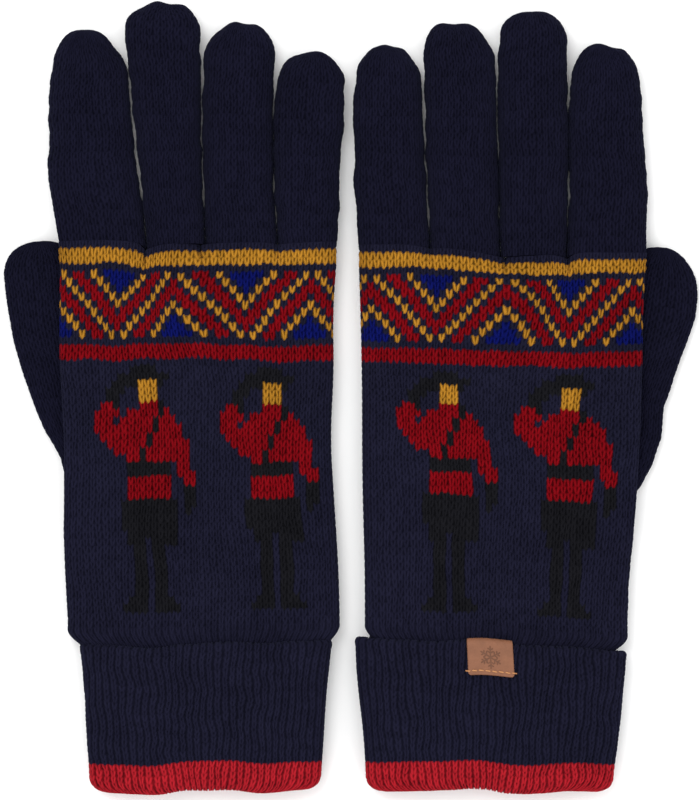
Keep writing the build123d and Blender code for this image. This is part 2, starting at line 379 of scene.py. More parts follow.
HAND_POWER = 3.4  # how square the hand's section is
FINGER_POWER = 2.35
HALF_THICK, MIDDLE_Z = 6.25, 7.05
CROTCH_Y = 57.0  # where the hand ends and the fingers begin
TAIL_Y = -94.0  # the hand's last row, inside the cuff
PALM_Y = -40.0  # where the hand's stitches have their true width
THUMB_CAD_LEAN = 11.3  # in degrees
POCKET_FLOOR = 8.7  # the hand lies this high over the thumb
POCKET_SIDE, POCKET_BACK, POCKET_END = (-19.5, -13.5), (-22, -13), (70, 61)  # where it begins to
BITE = 0.5  # the smooth surface lies this far inside the outline, under the stitches
TUCK_OUTER, TUCK_INNER = 7.0, 5.0  # how far the hand's sides draw in where they go into the cuff
WRIST_BULGE, WRIST_THINNER, WRIST_LIFT = 0.6, 1.5, 0.7  # over the cuff's edge, and inside the cuff
HAND_SWELL = (0.05, 34)  # waves of its thickness
LOBE_REACH = 11.0  # the fingers' sections begin to show this far below the crotch
DIP_REACH = 16.0  # the crotch draws the fabric down this far below it
PULL, PULL_WIDTH, PULL_INWARDS = 3.0, 11.0, 14.0  # how the deepest crotch draws the fabric sideways
PULL_ZONE = (8, 34)


def line_at(places, y):
    """A value at y, on a smooth line through the values given as pairs of y and the value there."""
    known_y, values = zip(*places)
    spread = np.linspace(-9, 9, 7)
    return np.mean([np.interp(y + d, known_y, values) for d in spread], axis=0)


def finger_line(side, number, share):
    """One of FINGER_LINES at a share of the way to the tips."""
    low, middle, high = (line[number] for line in FINGER_LINES[side])
    return low + share * (4 * middle - 3 * low - high) + share**2 * 2 * (low + high - 2 * middle)


def crotch_dip(side, x):
    """How far the fabric is drawn down at x, where two fingers meet: at once on the outer side of the
    line between them, and slowly on its inner side."""
    total = np.zeros(np.shape(x))
    for number, depth in enumerate(DIPS[side], start=1):
        away = x - FINGER_LINES[side][0][number]
        total = total + depth * np.where(away > 0, np.exp(-away / DIP_OUTER), np.exp(away / DIP_INNER))
    middle = np.exp(-(((x - SAG_MIDDLE) / SAG_WIDTH) ** 2))
    return total + SAG[side] * (0.8 * smooth(18, 32, x) + middle)


def row_rise(side, x, y):
    """How far the row at y lies above its even place. Its outer end moves less than its inner end."""
    return line_at(ROW_RISES[side], y) * (1.1 - 0.75 * (x / 100) ** 2)


def over_thumb(side, x, y, z):
    """The height of the hand and the index finger's base, whose underside lies on the thumb."""
    pivot = joint_place("thumb_spread", side)
    lean = math.radians(THUMB_CAD_LEAN)
    outwards = (x - pivot[0]) * math.cos(lean) - (y - pivot[1]) * math.sin(lean)
    along = (x - pivot[0]) * math.sin(lean) + (y - pivot[1]) * math.cos(lean)
    share = smooth(*POCKET_SIDE, outwards) * smooth(*POCKET_BACK, along) * smooth(*POCKET_END, y)
    low, high = MIDDLE_Z - HALF_THICK, MIDDLE_Z + HALF_THICK
    lifted = POCKET_FLOOR + (z - low) * (high - POCKET_FLOOR) / (high - low)
    return z + share * (lifted - z)


def finger_lobes(edges, x):
    """The height of the fingers' sections at x, from 0 between two fingers to 1 on top of each."""
    which = np.clip(np.searchsorted(edges, x) - 1, 0, len(edges) - 2)
    middle = (edges[which] + edges[which + 1]) / 2
    half = (edges[which + 1] - edges[which]) / 2
    share = np.clip(np.abs(x - middle) / half, 0, 1)
    return (1 - share**FINGER_POWER) ** (1 / FINGER_POWER)


def hand_surface(side, size):
    """The hand's smooth surface, from inside the cuff up to where the fingers begin."""
    columns, rows = size
    edges = np.array(FINGER_LINES[side][0])
    wrist_y = outward_box("hand", side)[0][1]
    angles = even_angles(columns, (edges[-1] - edges[0]) / 2, HALF_THICK, HAND_POWER)

    def place(u, v):
        y = TAIL_Y + v / rows * (CROTCH_Y - TAIL_Y)
        tuck = smooth(wrist_y + 4, wrist_y - 5, y)
        right = line_at(OUTER_SIDE[side], y) - BITE - TUCK_OUTER * tuck
        left = line_at(INNER_SIDE[side], y) + BITE + TUCK_INNER * tuck
        x, z = flat_loop(angles(u), (right - left) / 2, 1, HAND_POWER)
        x = x + (left + right) / 2
        lobes = finger_lobes(edges, x) * np.sign(z)
        near = smooth(CROTCH_Y - LOBE_REACH, CROTCH_Y, y) ** 1.6
        z = (1 - near) * z + near * lobes
        soft = 1 + layered_noise(3 + SIDES[side], x, y, HAND_SWELL) * (1 - near)
        low = smooth(wrist_y + 10, wrist_y - 3, y)
        bulge = WRIST_BULGE * smooth(wrist_y + 26, wrist_y + 12, y) * (1 - low)
        half_thick = HALF_THICK + bulge * (z > 0) - WRIST_THINNER * low
        z = MIDDLE_Z + WRIST_LIFT * low + z * half_thick * soft
        y = y - crotch_dip(side, x) * smooth(CROTCH_Y - DIP_REACH, CROTCH_Y, y)
        pulled = np.exp(-(((x - edges[3] + PULL_INWARDS) / PULL_WIDTH) ** 2))
        pull = PULL * pulled * smooth(*PULL_ZONE, y)
        z = over_thumb(side, x, y, z)
        return settle(side, x + pull, y + row_rise(side, x, y), z)

    return place


# -------------------- colour work

BAND_ROW = 1  # rows from the crotch down to the band
CHEVRON_REPEAT = 20
CHEVRON_ROWS = 9
CHEVRON_MIDDLE = {"right": 10, "left": 12}  # column of one point of the chevron, from the view's left
FIGURE_ROW = 17
FIGURE_MIDDLES = {"right": (14, 34), "left": (14, 33)}
INK = {"K": BLACK, "R": RED, "Y": YELLOW}
# A parade guard, 16 stitches wide, from the hat down
GUARD = (
    "......KKKK......",
    "....KKKKKKKK....",
    "...KKKKYYYK.....",
    "..KKK..YYY......",
    "..KK...YYY......",
    ".RRK...RRRK.....",
    "RRRR.RRRRRKR....",
    "RRR.RRRRRKRRR...",
    "RRRRRRRRRKRRRR..",
    ".RRRRRRRKRRRRR..",
    "..RRRRRRKRRRRRR.",
    "...RRRRKRRRRRRR.",
    ".....RRKRRRRRRR.",
    ".....KKKKKKK.RR.",
    ".....KKKKKKK.RRR",
    ".....RRRRRRR..RR",
    ".....RRRRRRR..KK",
    ".....RRRRRRR..KK",
    "....KKKKKKKKK.KK",
    "....KKKKKKKKK.K.",
    *("....KKKKKKKKK...",) * 2,
    ".....KKKKKKKK...",
    ".....KKK.KKKK...",
    *("......KK.KK.....",) * 7,
    ".....KKK.KKK....",
    "....KKKK.KKKK...",
)


def plain_yarn(colour):
    """Knitting in one colour."""
    return lambda column, row: np.broadcast_to(np.array(colour), (*column.shape, 3)).copy()


def chevron(away, row):
    """The colour at that many stitches from a chevron's point, in one row of the chevron."""
    back = CHEVRON_REPEAT // 2 - away
    if away == 5 - row or away == 10 - row or back == row - 5:
        return YELLOW
    if away in (7 - row, 8 - row) or back in (row - 3, row - 2):
        return RED
    if away <= 3 - row or back <= row - 7:
        return BLUE
    return NAVY


def hand_chart(side, size):
    """The colour of each stitch of a hand, as an array of columns by rows. The band runs all the way
    round, and the guards stand on the back of the hand."""
    columns, rows = size
    front = columns // 2
    chart = np.tile(np.array(NAVY), (columns, rows, 1))
    for column in range(columns):
        # Columns run outwards over the back of the hand, which is leftwards on the right-hand glove
        seen = column if SIDES[side] > 0 else front - 1 - column
        away = (seen - CHEVRON_MIDDLE[side] + CHEVRON_REPEAT // 2) % CHEVRON_REPEAT
        away = abs(away - CHEVRON_REPEAT // 2)
        for down in range(rows):
            row = down - BAND_ROW
            colour = None
            if row in (0, 1):
                colour = YELLOW
            elif 3 <= row < 3 + CHEVRON_ROWS:
                colour = chevron(away, row - 2)
            elif row in (4 + CHEVRON_ROWS, 5 + CHEVRON_ROWS):
                colour = RED
            elif column < front and 0 <= down - FIGURE_ROW < len(GUARD):
                for middle in FIGURE_MIDDLES[side]:
                    stitch = seen - middle + len(GUARD[0]) // 2
                    if 0 <= stitch < len(GUARD[0]):
                        colour = INK.get(GUARD[down - FIGURE_ROW][stitch])
            if colour is not None:
                chart[column, rows - 1 - down] = colour
    return chart


def charted_yarn(chart):
    """Knitting in the colours of a chart."""
    columns, rows = chart.shape[:2]

    def yarn(column, row):
        return chart[np.mod(column, columns).astype(int), np.clip(row, 0, rows - 1).astype(int)]

    return yarn


def make_hand(side):
    """The tube that holds the palm."""
    wide = line_at(OUTER_SIDE[side], PALM_Y) - line_at(INNER_SIDE[side], PALM_Y) - 2 * BITE
    round_it = loop_length(wide / 2, HALF_THICK, HAND_POWER)
    size = 2 * round(round_it / WALE / 2), round((CROTCH_Y - TAIL_Y) / COURSE)
    place, yarn = hand_surface(side, size), charted_yarn(hand_chart(side, size))
    hand = knit_tube(f"{side}_hand_knit", side, place, size, wrist_stitches, yarn, RELIEF)
    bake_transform(hand)
    return dress(hand, "patterned_knit", f"{side}_hand")


# -------------------- fingers

# Each fingertip's length beyond its shoulder, as a share of half the finger's width
TIP_LENGTH = {"little": 0.98, "ring": 0.92, "middle": 0.86, "index": 1.08, "thumb": 0.92}
PLEAT = 0.07  # how much a closing tip's pleats draw its outline in and out
SLIT, TIP_SLIT = 0.10, 0.5  # half the light between two fingers, and how much more it is at the tips
SLIT_WAVES, FINGER_SWAY, SIDE_RIPPLES, TIP_RIPPLES = (0.18, 30), (0.4, 22), (0.22, 9), (0.5, 9)
FINGER_SWELL = (0.07, 26)  # waves of its thickness
FINGER_RELIEF = 0.85 * RELIEF
KNUCKLE_BEND = 4  # how far past the finger's root make_finger sets stop


def gather(angle, close, pleats):
    """The scale of a closing tip's outline at that angle. close is 1 at its shoulder and 0 at its end."""
    return 1 + PLEAT * np.cos(pleats * angle + 0.7) * smooth(0.98, 0.4, close) * smooth(0, 0.12, close)


def make_finger(side, index):
    """One finger, from the crotch to its closed tip."""
    name = FINGERS[index]
    tip = outward_box(f"{name}_finger", side)[1][1] + LONGER[side][index]
    half = np.mean([line[index + 1] - line[index] for line in FINGER_LINES[side]]) / 2
    round_tip = half * TIP_LENGTH[name]
    straight = tip - round_tip - CROTCH_Y
    length = straight + round_tip * math.pi / 2
    columns = round(loop_length(half, HALF_THICK, FINGER_POWER) / WALE)
    rows = round(length / COURSE)
    angles = even_angles(columns, half, HALF_THICK, FINGER_POWER)
    seed = 40 + 5 * index + SIDES[side]

    def place(u, v):
        way = v / rows * length
        turn = np.clip((way - straight) / round_tip, 0, math.pi / 2)
        y = CROTCH_Y + np.minimum(way, straight) + round_tip * np.sin(turn)
        share = (y - CROTCH_Y) / (tip - CROTCH_Y)
        # Neighbours lie close together, with a little light between them here and there
        apart = smooth(0, 0.25, share) * (SLIT + layered_noise(seed + 60, 0 * y, y, SLIT_WAVES))
        apart = apart + TIP_SLIT * smooth(0.6, 1, share)
        low = finger_line(side, index, share) + BITE + apart
        high = finger_line(side, index + 1, share) - BITE - apart
        close = np.cos(turn)
        angle = angles(u)
        x, z = flat_loop(angle, (high - low) / 2 * close, 1, FINGER_POWER)
        pleated = gather(angle, close, 5 + index % 2)
        x = (low + high) / 2 + x * pleated + layered_noise(seed + 30, 0 * y, y, FINGER_SWAY) * share
        x = x + layered_noise(seed + 31, x, y, SIDE_RIPPLES) * smooth(0, 0.2, share)
        y = y + layered_noise(seed + 32, x, 0 * y, TIP_RIPPLES) * smooth(0.8, 1, share)
        soft = 1 + layered_noise(seed, x, y, FINGER_SWELL) * smooth(0, 8, y - CROTCH_Y)
        z = MIDDLE_Z + z * HALF_THICK * soft * close**0.75 * pleated
        y = y - crotch_dip(side, x) * smooth(0.32, 0, share)
        z = over_thumb(side, x, y, z)
        return settle(side, x, y + row_rise(side, x, y), z)

    # The fingers' navy is painted darker as shade
    size, yarn, piece = (columns, rows), plain_yarn(SHADED_FINGER_NAVY), f"{side}_{name}_knit"
    finger = knit_tube(piece, side, place, size, plain_stitches, yarn, FINGER_RELIEF, capped="end")
    stop = (outward_box(f"{name}_finger", side)[0][1] + KNUCKLE_BEND) * MM
    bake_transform(finger)
    return dress(finger, "navy_knit", f"{side}_{name}_finger", f"{side}_{name}_root")


# -------------------- thumbs

THUMB_LEAN = 13.5  # the thumb leans outwards this far at its root, and straightens towards its tip
THUMB_STRAIGHTENS, THUMB_WIDENS = (45, 90), (-12, 55)  # between these distances from its pivot
THUMB_BEND = 12  # how far past its pivot make_thumb sets stop, with start half as far behind it
THUMB_HALF_WIDTH, THUMB_ROOT_HALF_WIDTH = 13.4, 8.8
THUMB_HALF_THICK, THUMB_MIDDLE_Z = 3.1, 3.85
THUMB_POWER = 2.5
THUMB_TIP_Y = 57.6
THUMB_BACK = 11.0  # how far the root reaches behind the pivot
# How far the thumb's outer side stands out at some places along it
THUMB_BULGES = {
    "left": ((-32, 0.0), (-21, 1.6), (-12, 1.4), (0, -1.8), (16, -0.8), (32, 1.5), (40, 1.0), (52, -1.6)),
    "right": ((-36, -0.8), (-28, -2.4), (-20, -2.9), (-11, -0.3), (0, 0.0)),
}


def make_thumb(side):
    """The thumb, which lies under the outer edge of the hand."""
    pivot = joint_place("thumb_spread", side)
    way = np.linspace(-THUMB_BACK, 95, 400)
    lean = np.radians(THUMB_LEAN * (1 - 0.8 * smooth(*THUMB_STRAIGHTENS, way)))
    step = way[1] - way[0]
    line_x = pivot[0] + np.cumsum(np.sin(lean)) * step
    line_y = pivot[1] + np.cumsum(np.cos(lean)) * step
    line_x -= np.interp(0, way, line_x) - pivot[0]
    line_y -= np.interp(0, way, line_y) - pivot[1]
    end = np.interp(THUMB_TIP_Y, line_y, way)
    round_tip = THUMB_HALF_WIDTH * TIP_LENGTH["thumb"]
    straight = end - round_tip
    length = THUMB_BACK * math.pi / 2 + straight + round_tip * math.pi / 2
    columns = round(loop_length(THUMB_HALF_WIDTH, THUMB_HALF_THICK, THUMB_POWER) / WALE)
    rows = round(length / COURSE)
    angles = even_angles(columns, THUMB_HALF_WIDTH, THUMB_HALF_THICK, THUMB_POWER)

    def place(u, v):
        s = v / rows * length - THUMB_BACK * math.pi / 2
        root_turn = np.clip(-s / THUMB_BACK, 0, math.pi / 2)
        tip_turn = np.clip((s - straight) / round_tip, 0, math.pi / 2)
        along = np.clip(s, 0, straight) - THUMB_BACK * np.sin(root_turn) + round_tip * np.sin(tip_turn)
        close = np.cos(root_turn) * np.cos(tip_turn)
        wider = (THUMB_HALF_WIDTH - THUMB_ROOT_HALF_WIDTH) * smooth(*THUMB_WIDENS, along)
        wide = THUMB_ROOT_HALF_WIDTH + wider
        angle = angles(u)
        across, z = flat_loop(angle, wide * close, 1, THUMB_POWER)
        across = across * gather(angle, np.cos(tip_turn), 6)
        turn = np.interp(along, way, lean)
        x = np.interp(along, way, line_x) + across * np.cos(turn)
        y = np.interp(along, way, line_y) - across * np.sin(turn)
        known_y, known_x = zip(*THUMB_BULGES[side])
        x = x + np.interp(y, known_y, known_x) * smooth(-0.2, 1, across / THUMB_ROOT_HALF_WIDTH)
        z = THUMB_MIDDLE_Z + z * THUMB_HALF_THICK * close**0.75
        return settle(side, x, y, z)

    # The thumb's navy is painted darker as shade
    size, yarn, piece = (columns, rows), plain_yarn(SHADED_FINGER_NAVY), f"{side}_thumb_knit"
    thumb = knit_tube(piece, side, place, size, plain_stitches, yarn, FINGER_RELIEF, capped="start end")
    root, bend, cad_lean = pivot * MM, THUMB_BEND * MM, math.radians(THUMB_CAD_LEAN)
    direction = np.array((math.sin(cad_lean), math.cos(cad_lean), 0))
    start, stop = root - direction * bend / 2, root + direction * bend
    start[0] *= SIDES[side]
    stop[0] *= SIDES[side]
    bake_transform(thumb)
    return dress(thumb, "navy_knit", f"{side}_thumb", f"{side}_thumb_root")


# -------------------- cuffs

CUFF_POWER = 3.0
CUFF_INNER = {
    "left": ((-138, 5.8), (-118, 4.8), (-104, 3.0), (-90, 2.2)),
    "right": ((-138, 10.6), (-118, 9.2), (-104, 8.2), (-90, 6.4)),
}
CUFF_OUTER = {
    "left": ((-138, 94.6), (-122, 96.4), (-104, 98.4), (-90, 100.0)),
    "right": ((-138, 93.8), (-122, 95.0), (-104, 95.5), (-96, 95.8), (-90, 97.6)),
}
CUFF_LAYER = 1.7  # thickness of one layer, at the gaps between its ribs
FOLD_INSET = 4.6  # from the outside of the cuff to the face of its lining
FOLD_LIFT = 2.2  # the fold's smooth surface lies this far above the CAD model's lower edge
BAND_SHIFT = -1.0
EDGE_BEHIND = 9.0  # how far the layer goes back down behind its free edge
CORNER = 5.0  # how far the fold's corners are rounded
RIB_UNEVEN = 1.6  # how much more the rib's rows and columns wander than plain knitting's
RIB_BITE, EDGE_FLARE = 0.8, 0.5  # how far inside its outline the rib lies, and how much less at its edge
CUFF_SWELL, CUFF_WAVES = (0.035, 30), (0.3, 24)  # waves of its thickness and of its rows


def cuff_path(side):
    """The cuff's way in from the wrist, round the fold and back up to its free edge: for each mm of way,
    the place along Y and how far the surface lies inside the cuff's outline."""
    top = outward_box("cuff_turnback", side)[1][1]
    inner_top = outward_box("cuff_lining", side)[1][1]
    fold = outward_box("cuff_red_band", side)[0][1] + FOLD_LIFT
    bend, rim = FOLD_INSET / 2, CUFF_LAYER / 2
    turn = np.linspace(0, math.pi, 25)
    y = [np.linspace(inner_top, fold + bend, 60), fold + bend - bend * np.sin(turn)]
    inset = [np.full(60, FOLD_INSET), bend + bend * np.cos(turn)]
    y += [np.linspace(fold + bend, top - rim, 80), top - rim + rim * np.sin(turn)]
    inset += [np.zeros(80), rim - rim * np.cos(turn)]
    y.append(np.linspace(top - rim, top - EDGE_BEHIND, 12))
    inset.append(np.full(12, 2 * rim))
    y, inset = np.concatenate(y), np.concatenate(inset)
    way = np.concatenate([[0], np.cumsum(np.hypot(np.diff(y), np.diff(inset)))])
    return way, y, inset


def cuff_pieces(side):
    """Each of the cuff's three pieces: its node, the way along the path to its start and to its end, and
    the colours of the row before it, of its own rows and of the row after it."""
    way, y, _ = cuff_path(side)
    band_top = outward_box("cuff_red_band", side)[1][1] + BAND_SHIFT
    lowest = int(np.argmin(y))
    down = np.interp(-band_top, -y[:lowest], way[:lowest])
    up = np.interp(band_top, y[lowest:-40], way[lowest:-40])
    lining = ("cuff_lining", 0, down, (NAVY, NAVY, CUFF_RED))
    band = ("cuff_red_band", down, up, (NAVY, CUFF_RED, NAVY))
    return lining, band, ("cuff_turnback", up, way[-1], (CUFF_RED, NAVY, NAVY))


def cuff_yarn(colours, rows):
    """Knitting in one colour, into which the rows of its neighbours reach a little."""
    known = np.array(colours)
    return lambda column, row: known[1 + (row >= rows).astype(int) - (row < 0)]


def cuff_wave(side, x):
    """How far the rows of the cuff wave up and down at x."""
    return layered_noise(80 + SIDES[side], x, 0 * x, CUFF_WAVES)


def cuff_height(side):
    """The middle of the cuff along Z, and half the thickness of its smooth surface."""
    low, high = outward_box("cuff_turnback", side)
    return (low[2] + high[2]) / 2, (high[2] - low[2]) / 2 - RIB_RELIEF * 0.9


def make_cuff(side):
    """The cuff's lining, its red fold and the layer that is turned back over them."""
    way, path_y, path_inset = cuff_path(side)
    top, fold = path_y.max(), path_y.min()
    middle_z, half_thick = cuff_height(side)
    half = (CUFF_OUTER[side][-1][1] - CUFF_INNER[side][-1][1]) / 2
    columns = round(loop_length(half, half_thick, CUFF_POWER) / RIB_WALE)
    angles = even_angles(columns, half, half_thick, CUFF_POWER)
    for node, start, end, colours in cuff_pieces(side):
        rows = max(1, round((end - start) / RIB_COURSE))

        def place(u, v, start=start, end=end, rows=rows):
            s = start + v / rows * (end - start)
            y, inset = np.interp(s, way, path_y), np.interp(s, way, path_inset)
            low = np.clip((fold + CORNER - y) / CORNER, 0, 1)
            shy = CORNER * (1 - np.sqrt(1 - low**2)) + RIB_BITE - EDGE_FLARE * smooth(top - 5, top, y)
            left = line_at(CUFF_INNER[side], y) + shy
            right = line_at(CUFF_OUTER[side], y) - shy
            x, z = flat_loop(angles(u), 1, 1, CUFF_POWER)
            x = (left + right) / 2 + x * ((right - left) / 2 - inset)
            soft = 1 + layered_noise(70 + SIDES[side], x, y, CUFF_SWELL)
            z = middle_z + z * (half_thick - inset) * soft
            return settle(side, x, y + cuff_wave(side, x), z, RIB_RELIEF)

        yarn, size = cuff_yarn(colours, rows), (columns, rows)
        name = f"{side}_{node}_knit"
        piece = knit_tube(
            name, side, place, size, rib_stitches, yarn, RIB_RELIEF, RIB_SAMPLES, uneven=RIB_UNEVEN
        )
        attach(piece, f"{side}_cuff_body")
        dress(piece, "red_rib" if node == "cuff_red_band" else "navy_rib", f"{side}_{node}")


# -------------------- leather label

LABEL_THICK = 0.9
LABEL_CORNER = 1.3
LABEL_TURN = math.radians(3.0)  # the label isn't sewn on quite straight
LABEL_FRONT, LABEL_BEHIND = 10.8, 7.5  # how far it reaches down in front and behind
FOLD_LENGTH = 2.2  # how much of the strip the fold takes up
LABEL_GRID = 0.12  # size of a mesh cell
LABEL_RIM = 0.35  # how far in from the edge the leather rounds off
PRESS_DEPTH, PRESS_MIDDLE, PRESS_REACH = 0.16, 6.6, 3.8  # the pressed snowflake
THREAD_STITCHES = 8


def to_segment(x, y, start, end):
    """The distance of points from a line between two places."""
    ax, ay = start
    dx, dy = end[0] - ax, end[1] - ay
    t = np.clip(((x - ax) * dx + (y - ay) * dy) / (dx * dx + dy * dy), 0, 1)
    return np.hypot(x - ax - t * dx, y - ay - t * dy)


def to_snowflake(x, y, reach):
    """The distance of points from the lines of a plain six-armed snowflake."""
    r = np.hypot(x, y)
    turn = np.abs(np.mod(np.arctan2(y, x), math.pi / 3) - math.pi / 6)
    along, across = r * np.cos(turn), r * np.sin(turn)
    found = to_segment(along, across, (0, 0), (reach, 0))
    for share, long in ((0.42, 0.30), (0.70, 0.24)):
        tip = (reach * (share + long * 0.5), reach * long * 0.87)
        found = np.minimum(found, to_segment(along, across, (reach * share, 0), tip))
    return found


def label_place(side, x, along):
    """A place on the inner face of the folded label and the way it faces. along is 0 on the cuff's free
    edge, grows down the front and is negative behind."""
    top = outward_box("cuff_turnback", side)[1][1]
    middle_z, half_thick = cuff_height(side)
    face, behind = middle_z + half_thick + 0.9 * RIB_RELIEF, middle_z + half_thick - 2 * CUFF_LAYER / 2
    radius = (face - behind) / 2
    bend = radius * math.pi / 2
    turn = np.clip(along / bend, -1, 1) * math.pi / 2
    straight = np.maximum(np.abs(along) - bend, 0)
    y = top - 0.5 * radius + radius * np.cos(turn) - straight
    z = (face + behind) / 2 + radius * np.sin(turn)
    z = z + 0.25 * np.sin((x - 40) / 6.5) * (turn > 0) * smooth(0, 6, straight)
    normal = np.stack([0 * y, np.cos(turn), np.sin(turn)], axis=-1)
    placed = settle(side, x, y + cuff_wave(side, x), z)
    return placed, normal


def turn_label(points, middle):
    """Turns points of the label a little about its middle."""
    c, s = math.cos(LABEL_TURN), math.sin(LABEL_TURN)
    moved = points[..., :2] - middle
    x = moved[..., 0] * c - moved[..., 1] * s + middle[0]
    y = moved[..., 0] * s + moved[..., 1] * c + middle[1]
    return np.stack([x, y, points[..., 2]], axis=-1)


def label_outline():
    """The middle of the label and half its width."""
    low, high = (np.array(corner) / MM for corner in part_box("leather_label"))
    return (low[:2] + high[:2]) / 2, (high[0] - low[0]) / 2


def make_label():
    """The leather label: a folded strip with soft edges, and a snowflake pressed into its front."""
    middle, half = label_outline()
    length = LABEL_FRONT + LABEL_BEHIND + FOLD_LENGTH
    along = np.linspace(-LABEL_BEHIND, LABEL_FRONT + FOLD_LENGTH, 1 + round(length / LABEL_GRID))
    across = np.linspace(-1, 1, 1 + round(2 * half / LABEL_GRID))
    across, along = np.meshgrid(across, along)
    to_end = np.minimum(along - along.min(), along.max() - along)
    round_off = np.clip(1 - to_end / LABEL_CORNER, 0, 1)
    wide = half - LABEL_CORNER * (1 - np.sqrt(1 - round_off**2))
    x = across * wide
    to_edge = np.minimum(to_end, (1 - np.abs(across)) * wide)
    rim = np.sqrt(1 - np.clip(1 - to_edge / LABEL_RIM, 0, 1) ** 2)
    pressed = smooth(0.34, 0.14, to_snowflake(x, along - PRESS_MIDDLE, PRESS_REACH))
    inner, normal = label_place("left", x + middle[0], along)
    grain = 0.02 * wave_noise(5, x, along, 1.3, 12)
    outer = inner + normal * (LABEL_THICK * rim - PRESS_DEPTH * pressed + grain)[..., None]
    points = np.concatenate([outer.reshape(-1, 3), inner.reshape(-1, 3)])
    points = turn_label(points, middle)
    rows, columns = x.shape
    i, j = np.arange(columns - 1), np.arange(rows - 1)[:, None]
    a = j * columns + i
    sheet = np.stack([a, a + 1, a + 1 + columns, a + columns], axis=-1).reshape(-1, 4)
    first, last = np.arange(columns), np.arange(columns) + (rows - 1) * columns
    left, right = np.arange(rows) * columns, np.arange(rows) * columns + columns - 1
    ring = np.concatenate([first, right[1:], last[::-1][1:], left[::-1][1:-1]])
    after, total = np.roll(ring, -1), rows * columns
    walls = np.stack([after, ring, ring + total, after + total], axis=-1)
    faces = [sheet[:, ::-1], sheet + total, walls[:, ::-1]]
    depth = np.concatenate([(0.55 * pressed + 0.5 * (1 - rim)).ravel(), np.zeros(total)])
    u = (x + half) / (2 * half) * 0.48
    v = (along - along.min()) / (along.max() - along.min())
    uv = np.concatenate([np.stack([u + shift, v], axis=-1).reshape(-1, 2) for shift in (0, 0.5)])
    label = new_object("label_leather_fold", points, faces, {"depth": depth}, uv)
    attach(label, "left_cuff_body")
    return dress(label, "label_leather", "leather_label")


def make_stitches():
    """The thread stitches along the label's lower edge, the outer two of which run off its sides."""
    middle, half = label_outline()
    radius, sides, steps = 0.27, 8, 12
    pitch = 2 * half / (THREAD_STITCHES - 1)
    points, faces = [], []
    for number in range(THREAD_STITCHES):
        centre = -half + number * pitch
        t = np.linspace(-1, 1, steps)
        x = centre + t * pitch * 0.40
        arch = 0.22 * (1 - t**2) - 0.20 - 0.9 * smooth(half - 0.2, half + 0.5, np.abs(x))
        slant = 0.10 * t + 0.08 * stitch_noise(9, np.array(number), np.array(1))
        inner, normal = label_place("left", x + middle[0], LABEL_FRONT + 0.6 + slant)
        line = inner + normal * (LABEL_THICK + radius * 0.6 + arch)[:, None]
        thick = radius * np.sqrt(np.clip(1 - t**6, 0.02, 1))
        turn = np.linspace(0, 2 * math.pi, sides, endpoint=False)
        ring = np.stack([0 * turn, np.cos(turn), np.sin(turn)], axis=-1)
        tube = (line[:, None] + ring[None] * thick[:, None, None]).reshape(-1, 3)
        rims = np.arange(sides), np.arange(sides) + (steps - 1) * sides
        first = sum(len(group) for group in points)
        points.append(np.vstack([tube, *(tube[rim].mean(axis=0) for rim in rims)]))
        faces.append(grid_faces(sides, steps) + first)
        for end, rim in enumerate(rims):
            faces.append(cap_faces(first + rim, first + len(tube) + end, end == 1))
    points = turn_label(np.concatenate(points), middle)
    thread = new_object("label_thread", points, faces, {})
    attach(thread, "left_cuff_body")
    return dress(thread, "label_thread", "label_stitches")


# -------------------- materials

def shader(name, roughness, specular):
    """A new material, its node tree and its Principled node."""
    material = bpy.data.materials.new(name)
    material.use_nodes = True
    principled = material.node_tree.nodes["Principled BSDF"]
    principled.inputs["Roughness"].default_value = roughness
    principled.inputs["Specular IOR Level"].default_value = specular
    return material, material.node_tree, principled


def add_node(tree, kind, **values):
    """A node of that kind, with inputs and settings by name."""
    node = tree.nodes.new(f"ShaderNode{kind}")
    for key, value in values.items():
        if key in node.inputs:
            node.inputs[key].default_value = value
        else:
            setattr(node, key, value)
    return node


def maths(tree, operation, *values):
    """A sum, a product or such of sockets and numbers."""
    node = tree.nodes.new("ShaderNodeMath")
    node.operation = operation
    for socket, value in zip(node.inputs, values):
        if isinstance(value, (int, float)):
            socket.default_value = value
        else:
            tree.links.new(value, socket)
    return node.outputs[0]


def vary(tree, light, noise, amount):
    """A brightness that a noise texture makes uneven."""
    uneven = maths(tree, "MULTIPLY", maths(tree, "SUBTRACT", noise.outputs["Fac"], 0.5), amount)
    return maths(tree, "ADD", light, uneven)


def add_bumps(tree, principled, height, **values):
    """Fine relief from a socket that gives its height."""
    bump = add_node(tree, "Bump", **values)
    tree.links.new(height, bump.inputs["Height"])
    tree.links.new(bump.outputs[0], principled.inputs["Normal"])


